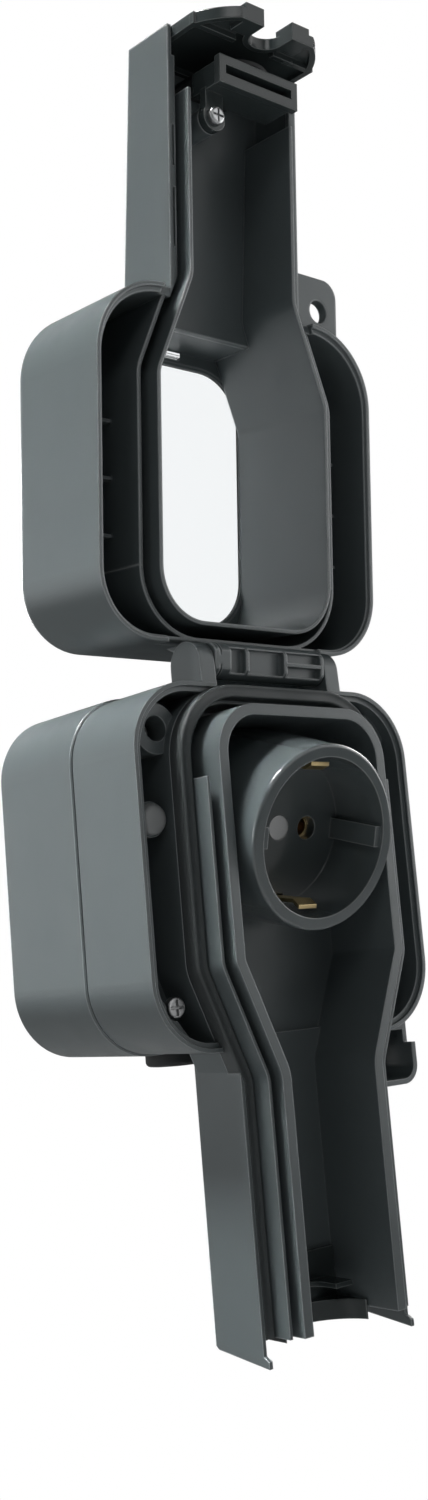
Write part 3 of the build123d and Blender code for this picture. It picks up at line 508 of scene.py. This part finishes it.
# Keyhole gasket
# Soft grey rubber band laid round the keyhole wall, open at the neck's end.
# Its face is eased and slightly hollow where the cover's rib beds in.
gasket_tone = (0.062, 0.071, 0.073)
gasket_bloom = (0.078, 0.088, 0.090)
gasket_gloss = (0.48, 0.62)
gasket_rubber = soft_rubber("gasket_rubber", gasket_tone, gasket_bloom, gasket_gloss)
gasket_low, gasket_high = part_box("keyhole_seal")
gasket_width = 0.0034
gasket_inset = gasket_width / 2
keyhole_neck_half = 0.0230
keyhole_corner = 0.0190
keyhole_shoulder = -0.0256
keyhole_slope = math.radians(22.5)
shoulder_round_out = 0.0120
shoulder_round_in = 0.0030
gasket_half = gasket_high[0] - gasket_inset
gasket_neck_half = keyhole_neck_half - gasket_inset
gasket_top = gasket_high[2] - gasket_inset
shoulder_high = keyhole_shoulder + gasket_inset * math.tan(keyhole_slope / 2)
shoulder_low = shoulder_high - (gasket_half - gasket_neck_half) / math.tan(keyhole_slope)
gasket_left = [(-gasket_neck_half, gasket_low[2]), (-gasket_neck_half, shoulder_low),
               (-gasket_half, shoulder_high), (-gasket_half, gasket_top)]
gasket_right = [(-x, z) for x, z in reversed(gasket_left)]
gasket_rounds = [0.0, shoulder_round_in + gasket_inset, shoulder_round_out - gasket_inset,
                 keyhole_corner - gasket_inset]
gasket_steps = 16
path, normals = rounded_path(gasket_left + gasket_right, gasket_rounds + gasket_rounds[::-1], False,
                             gasket_steps)
gasket_front = -gasket_low[1]
gasket_back = -gasket_high[1]
gasket_edge = 0.0006
bed_depth = 0.00025
bed_steps = 9
section = rounded_section(gasket_width, gasket_back, gasket_front, gasket_edge / 3, gasket_edge)
across = np.linspace(-1, 1, bed_steps)[1:-1]
bed = np.stack((across * (gasket_inset - gasket_edge), gasket_front - bed_depth * (1 - across ** 2)), axis=1)
front_start = 2 * section_steps
section = np.concatenate((section[:front_start], bed, section[front_start:]))
new_piece("keyhole_gasket", swept(path, normals, section), swept_faces(path, section, False), gasket_rubber,
          "base", "keyhole_seal")

# Outlet
# Tilted collar with a round recess, moulded in a slightly glossier plastic, over a pale insulating body
# that holds brass sleeves, the earth strap and their clamp screws.
outlet_dark = (0.094, 0.114, 0.119)
outlet_light = (0.106, 0.127, 0.132)
# The collar's edge tone is about three times as pale as its body: partly wear, partly a painted highlight
# along the ring's edges.
outlet_wear_and_highlight = (0.30, 0.32, 0.325)
outlet_gloss = (0.16, 0.24)
outlet_grain = 3600.0
outlet_grain_height = 0.000008
outlet_edge = 0.0006
outlet_polish = 0.6
outlet_polish_roughness = 0.08
outlet_plastic = moulded_plastic("outlet_plastic", outlet_dark, outlet_light, outlet_wear_and_highlight, outlet_gloss,
                                 outlet_grain, outlet_grain_height, outlet_edge)
outlet_shader = outlet_plastic.node_tree.nodes["Principled BSDF"]
outlet_shader.inputs["Coat Weight"].default_value = outlet_polish
outlet_shader.inputs["Coat Roughness"].default_value = outlet_polish_roughness
dress(outlet_plastic, "socket_cover")

insulator_dark = (0.58, 0.58, 0.55)
insulator_light = (0.63, 0.63, 0.60)
insulator_rubbed = (0.70, 0.70, 0.67)
insulator_gloss = (0.50, 0.65)
insulator_grain = 1400.0
insulator_grain_height = 0.00003
insulator_edge = 0.0004
pale_insulator = moulded_plastic("pale_insulator", insulator_dark, insulator_light, insulator_rubbed,
                                 insulator_gloss, insulator_grain, insulator_grain_height, insulator_edge)
dress(pale_insulator, "socket_body")

brass_bright = (0.78, 0.62, 0.33)
brass_dull = (0.62, 0.47, 0.24)
brass_gloss = (0.24, 0.42)
brass_edge = 0.0002
spring_brass = plated_metal("spring_brass", brass_bright, brass_dull, brass_gloss, brass_edge)
dress(spring_brass, "pin_contacts", "earth_clip")
dress(zinc_steel, "centre_screw", "terminal_screws")

# Neck cradle
# Glossy dark moulding clipped into the end of the housing's neck.
# It has a notched rib that the cover's block drops over.
latch_dark = (0.036, 0.046, 0.047)
latch_light = (0.046, 0.057, 0.058)
latch_rubbed = (0.20, 0.22, 0.22)
latch_gloss = (0.16, 0.28)
latch_grain = 3000.0
latch_grain_height = 0.00001
latch_edge = 0.0004
latch_plastic = moulded_plastic("latch_plastic", latch_dark, latch_light, latch_rubbed, latch_gloss,
                                latch_grain, latch_grain_height, latch_edge)
dress(latch_plastic, "cable_cradle")

# Cover
# Deep lid with its own neck, two rows of keyhole walls inside and a knuckle at the hinge, in one moulding.
# It is the casing's slate plastic, with its edges painted wider and paler than the casing's: partly wear,
# partly a painted highlight along the lid's rims.
# Painted highlight: a pale, wide edge tone along the lid's rims and rib tips, over some wear.
cover_wear_and_highlight = (0.48, 0.51, 0.52)
cover_edge = 0.0009
cover_plastic = moulded_plastic("cover_plastic", slate_dark, slate_light, cover_wear_and_highlight, slate_gloss,
                                slate_grain, slate_grain_height, cover_edge)
dress(cover_plastic, "lid_shell", "lid_neck", "lid_ribs")


# Window
# Clear moulded pane, snapped into the lid from outside on four lugs.
# It lies over a thin soft ring of black rubber in the step of the opening.
def swung(points):
    """Points of the shut cover turned up about the hinge: the joint's full range, backwards about +X."""
    hinge = frame["joints"][0]
    pivot = np.array(hinge["pos_m"])
    angle = -math.radians(hinge["range_deg"][1])
    away = points - pivot
    y = away[..., 1] * math.cos(angle) - away[..., 2] * math.sin(angle)
    z = away[..., 1] * math.sin(angle) + away[..., 2] * math.cos(angle)
    return pivot + np.stack((away[..., 0], y, z), axis=-1)


window_half = 0.0282
window_low = -0.0406
window_high = 0.0332
window_corner = 0.0140
window_ring_width = 0.0012
window_ring_back = 0.0962
window_ring_front = 0.0970
ring_middle = window_ring_width / 2
path, normals = ring_path(window_half + ring_middle, window_low - ring_middle, window_high + ring_middle,
                          window_corner + ring_middle)
section = rounded_section(window_ring_width, window_ring_back, window_ring_front, ring_middle / 2,
                          ring_middle / 4)
new_piece("window_ring_rubber", swung(swept(path, normals, section)), swept_faces(path, section, True),
          black_rubber, "cover", "window_seal")

pane_tint = (0.93, 0.95, 0.96, 1.0)
pane_ior = 1.3
pane_gloss = (0.02, 0.07)
clear_pane = bpy.data.materials.new("clear_pane")
clear_pane.use_nodes = True
pane_tree = clear_pane.node_tree
pane_shader = pane_tree.nodes["Principled BSDF"]
pane_shader.inputs["Base Color"].default_value = pane_tint
pane_shader.inputs["Transmission Weight"].default_value = 1.0
pane_shader.inputs["IOR"].default_value = pane_ior
pane_roughness = gloss_of(pane_tree, placed_grain(pane_tree), *pane_gloss)
pane_tree.links.new(pane_roughness, pane_shader.inputs["Roughness"])
dress(clear_pane, "window_pane")

# Slotted block and its screw
# Glossy dark moulding with a slot that takes the cradle's rib when the cover is shut.
# One zinc-plated screw with a cross recess holds it in the end of the cover's neck.
dress(latch_plastic, "latch_block")
dress(zinc_steel, "latch_screw")


# End flap
# Soft tongue of black rubber, held below the block in the end of the cover's neck.
# It is moulded thick in the middle and thinner to its rounded edge.
def tongue(half_width, front, back, low, high, around, across, fullness):
    """Flat pad whose outline is two straight sides and a half circle.

    Each outline point is drawn in towards the middle line as the pad's section goes from the top face, round
    the edge, to the bottom face: its reach and its rise are the sine and the cosine of half a turn, each
    raised to the power of the fullness.
    """
    round_centre = front + half_width
    angle = np.linspace(0, np.pi, around)
    x = np.concatenate(([-half_width], -half_width * np.cos(angle), [half_width]))
    depth = np.concatenate(([back], round_centre - half_width * np.sin(angle), [back]))
    spine_depth = np.maximum(depth, round_centre)
    turn = np.linspace(0, np.pi, across)
    reach = np.sign(np.sin(turn)) * np.abs(np.sin(turn)) ** fullness
    rise = (high + low) / 2 + np.sign(np.cos(turn)) * (high - low) / 2 * np.abs(np.cos(turn)) ** fullness
    px = x[:, None] * reach[None, :]
    pd = spine_depth[:, None] + (depth - spine_depth)[:, None] * reach[None, :]
    pz = np.broadcast_to(rise[None, :], px.shape)
    return np.stack((px, -pd, pz), axis=-1)


flap_half = 0.0096
flap_front = 0.0529
flap_back = 0.0774
flap_low = -0.1110
flap_high = -0.1093
flap_around = 36
flap_across = 13
flap_fullness = 0.35
flap_points = swung(tongue(flap_half, flap_front, flap_back, flap_low, flap_high,
                           flap_around, flap_across, flap_fullness))
flap_rows = flap_around + 2
flap_faces = grid_faces(flap_rows, flap_across, False, False)[:, ::-1].tolist()
flap_left_end = list(range(flap_across))
flap_right_end = list(range((flap_rows - 1) * flap_across, flap_rows * flap_across))[::-1]
new_piece("cord_flap", flap_points, flap_faces + [flap_left_end, flap_right_end], black_rubber,
          "cover", "cable_flap")

# Horned gate
# Glossy dark cup that closes the end of the cover's neck, with two horns beside its notch.
# It is moulded in the block's plastic and seats against the front of the neck.
dress(latch_plastic, "cable_gate")

# Floor
# Pale matt floor well below the part. Seen straight or through the window it is white, apart from a round
# patch under the part that keeps some of its own shading, and so the shadow.
floor_height = -0.5
floor_half = 4.0
floor_pale = (0.8, 0.8, 0.8, 1.0)
floor_roughness = 0.9
shadow_radius = 0.3
shadow_end = 0.9
shadow_white = 0.72
floor_corners = [(-floor_half, -floor_half, floor_height), (floor_half, -floor_half, floor_height),
                 (floor_half, floor_half, floor_height), (-floor_half, floor_half, floor_height)]
floor_mesh = bpy.data.meshes.new("floor")
floor_mesh.from_pydata(floor_corners, [], [(0, 1, 2, 3)])
floor_paint = bpy.data.materials.new("floor_paint")
floor_paint.use_nodes = True
tree = floor_paint.node_tree
shader = tree.nodes["Principled BSDF"]
shader.inputs["Base Color"].default_value = floor_pale
shader.inputs["Roughness"].default_value = floor_roughness
place = tree.nodes.new("ShaderNodeTexCoord")
away = tree.nodes.new("ShaderNodeVectorMath")
away.operation = "LENGTH"
tree.links.new(place.outputs["Object"], away.inputs[0])
fade = spread_of(tree, away.outputs["Value"], shadow_radius, shadow_end, shadow_white, 1.0, "SMOOTHSTEP")
seen = tree.nodes.new("ShaderNodeLightPath")
straight = worked_out(tree, "MAXIMUM", seen.outputs["Is Camera Ray"], seen.outputs["Is Transmission Ray"])
white = tree.nodes.new("ShaderNodeEmission")
whitened = tree.nodes.new("ShaderNodeMixShader")
tree.links.new(worked_out(tree, "MULTIPLY", straight, fade), whitened.inputs["Fac"])
tree.links.new(shader.outputs["BSDF"], whitened.inputs[1])
tree.links.new(white.outputs["Emission"], whitened.inputs[2])
tree.links.new(whitened.outputs["Shader"], tree.nodes["Material Output"].inputs["Surface"])
floor_mesh.materials.append(floor_paint)
floor = bpy.data.objects.new("floor", floor_mesh)
bpy.context.scene.collection.objects.link(floor)


# Lamps
# Two high lamps and two level ones on the left give the sides their tone, and a small one in front and a
# tall panel on the right lift the inside. Two lamps with grids, behind, light what the camera doesn't see.
def aimed(place, target, over):
    """Placement at a point, looking at a target, with the given direction upwards."""
    ahead = (Vector(target) - Vector(place)).normalized()
    right = ahead.cross(Vector(over)).normalized()
    turn = Matrix((right, right.cross(ahead), -ahead)).transposed()
    return Matrix.Translation(place) @ turn.to_4x4()


def soft_light(name, place, target, width, height, power, spread=math.pi):
    """Rectangular lamp facing a target, with a grid that narrows its light to the spread."""
    lamp = bpy.data.lights.new(name, "AREA")
    lamp.shape = "RECTANGLE"
    lamp.size = width
    lamp.size_y = height
    lamp.energy = power
    lamp.spread = spread
    made = bpy.data.objects.new(name, lamp)
    made.matrix_world = aimed(place, target, (0, 0, 1))
    bpy.context.scene.collection.objects.link(made)


narrow_grid = math.radians(20)
wide_grid = math.radians(40)
soft_light("upper_grid", place=(-0.62, 0.10, 1.37), target=(-0.046, -0.03, 0.0),
           width=0.3, height=0.3, power=0.62, spread=narrow_grid)
soft_light("upper_left", place=(-0.76, 0.22, 2.07), target=(0, -0.03, 0.02),
           width=0.7, height=0.7, power=27.5)
soft_light("left_grid", place=(-1.12, 0.36, 0.10), target=(0, -0.03, 0.045),
           width=0.25, height=0.25, power=0.040, spread=narrow_grid)
soft_light("left_window", place=(-1.15, -0.38, 0.12), target=(0, -0.03, 0.02),
           width=0.5, height=0.9, power=0.7)
soft_light("front_left", place=(-0.62, -0.85, 0.75), target=(0, -0.05, 0.03),
           width=0.4, height=0.4, power=1.0)
soft_light("right_panel", place=(1.30, -0.78, 0.28), target=(0, -0.05, 0.05),
           width=0.4, height=1.0, power=4.6)
soft_light("right_back", place=(1.15, 0.45, 0.60), target=(0, -0.03, 0.05),
           width=0.5, height=0.5, power=0.45, spread=wide_grid)
soft_light("rear_fill", place=(0.35, 1.55, 0.45), target=(0, -0.03, 0.05),
           width=0.5, height=0.5, power=0.60, spread=wide_grid)

# Camera
# Close to the part, on its left and a little below, looking up and to the right.
# Sensor and lens are in millimetres and set by the height of the picture.
eye = Vector((-0.2582, -0.3444, -0.0247))
ahead = Vector((0.6325, 0.7617, 0.1407))
over = Vector((-0.026, -0.1607, 0.9867))
camera = bpy.data.cameras.new("camera")
camera.sensor_fit = "VERTICAL"
camera.sensor_height = 36.0
camera.lens = 36.45
camera.clip_start = 0.01
viewpoint = bpy.data.objects.new("camera", camera)
viewpoint.matrix_world = aimed(eye, eye + ahead, over)
bpy.context.scene.collection.objects.link(viewpoint)
bpy.context.scene.camera = viewpoint
bpy.context.scene.view_settings.view_transform = "Standard"

# Backdrop
# White where it is seen straight or through the window, and otherwise a faint even light on the part.
# Glossy surfaces mirror two broad white panels: one behind the part, fading upwards, and one in front.
ambient_level = 0.018
mirror_level = 1.0
mirror_way = (-0.63, 0.77, 0.0)
panel_edge = 0.35
panel_middle = 0.85
fade_start = 0.05
fade_end = 0.45
fade_level = 0.3
world = bpy.data.worlds.new("studio")
world.use_nodes = True
bpy.context.scene.world = world
tree = world.node_tree
background = tree.nodes["Background"]
background.inputs["Color"].default_value = (1, 1, 1, 1)
way = tree.nodes.new("ShaderNodeTexCoord")
along = tree.nodes.new("ShaderNodeVectorMath")
along.operation = "DOT_PRODUCT"
along.inputs[1].default_value = mirror_way
tree.links.new(way.outputs["Generated"], along.inputs[0])
height = tree.nodes.new("ShaderNodeSeparateXYZ")
tree.links.new(way.outputs["Generated"], height.inputs["Vector"])
facing = along.outputs["Value"]
behind = spread_of(tree, facing, panel_edge, panel_middle, 0.0, mirror_level, "SMOOTHSTEP")
falloff = spread_of(tree, height.outputs["Z"], fade_start, fade_end, 1.0, fade_level, "SMOOTHSTEP")
front = spread_of(tree, facing, -panel_edge, -panel_middle, 0.0, mirror_level, "SMOOTHSTEP")
panels = worked_out(tree, "ADD", worked_out(tree, "MULTIPLY", behind, falloff), front)
seen = tree.nodes.new("ShaderNodeLightPath")
straight = worked_out(tree, "MAXIMUM", seen.outputs["Is Camera Ray"], seen.outputs["Is Transmission Ray"])
mirrored = tree.nodes.new("ShaderNodeMix")
mirrored.inputs["A"].default_value = ambient_level
tree.links.new(seen.outputs["Is Glossy Ray"], mirrored.inputs["Factor"])
tree.links.new(panels, mirrored.inputs["B"])
direct = tree.nodes.new("ShaderNodeMix")
direct.inputs["B"].default_value = 1.0
tree.links.new(straight, direct.inputs["Factor"])
tree.links.new(mirrored.outputs["Result"], direct.inputs["A"])
tree.links.new(direct.outputs["Result"], background.inputs["Strength"])
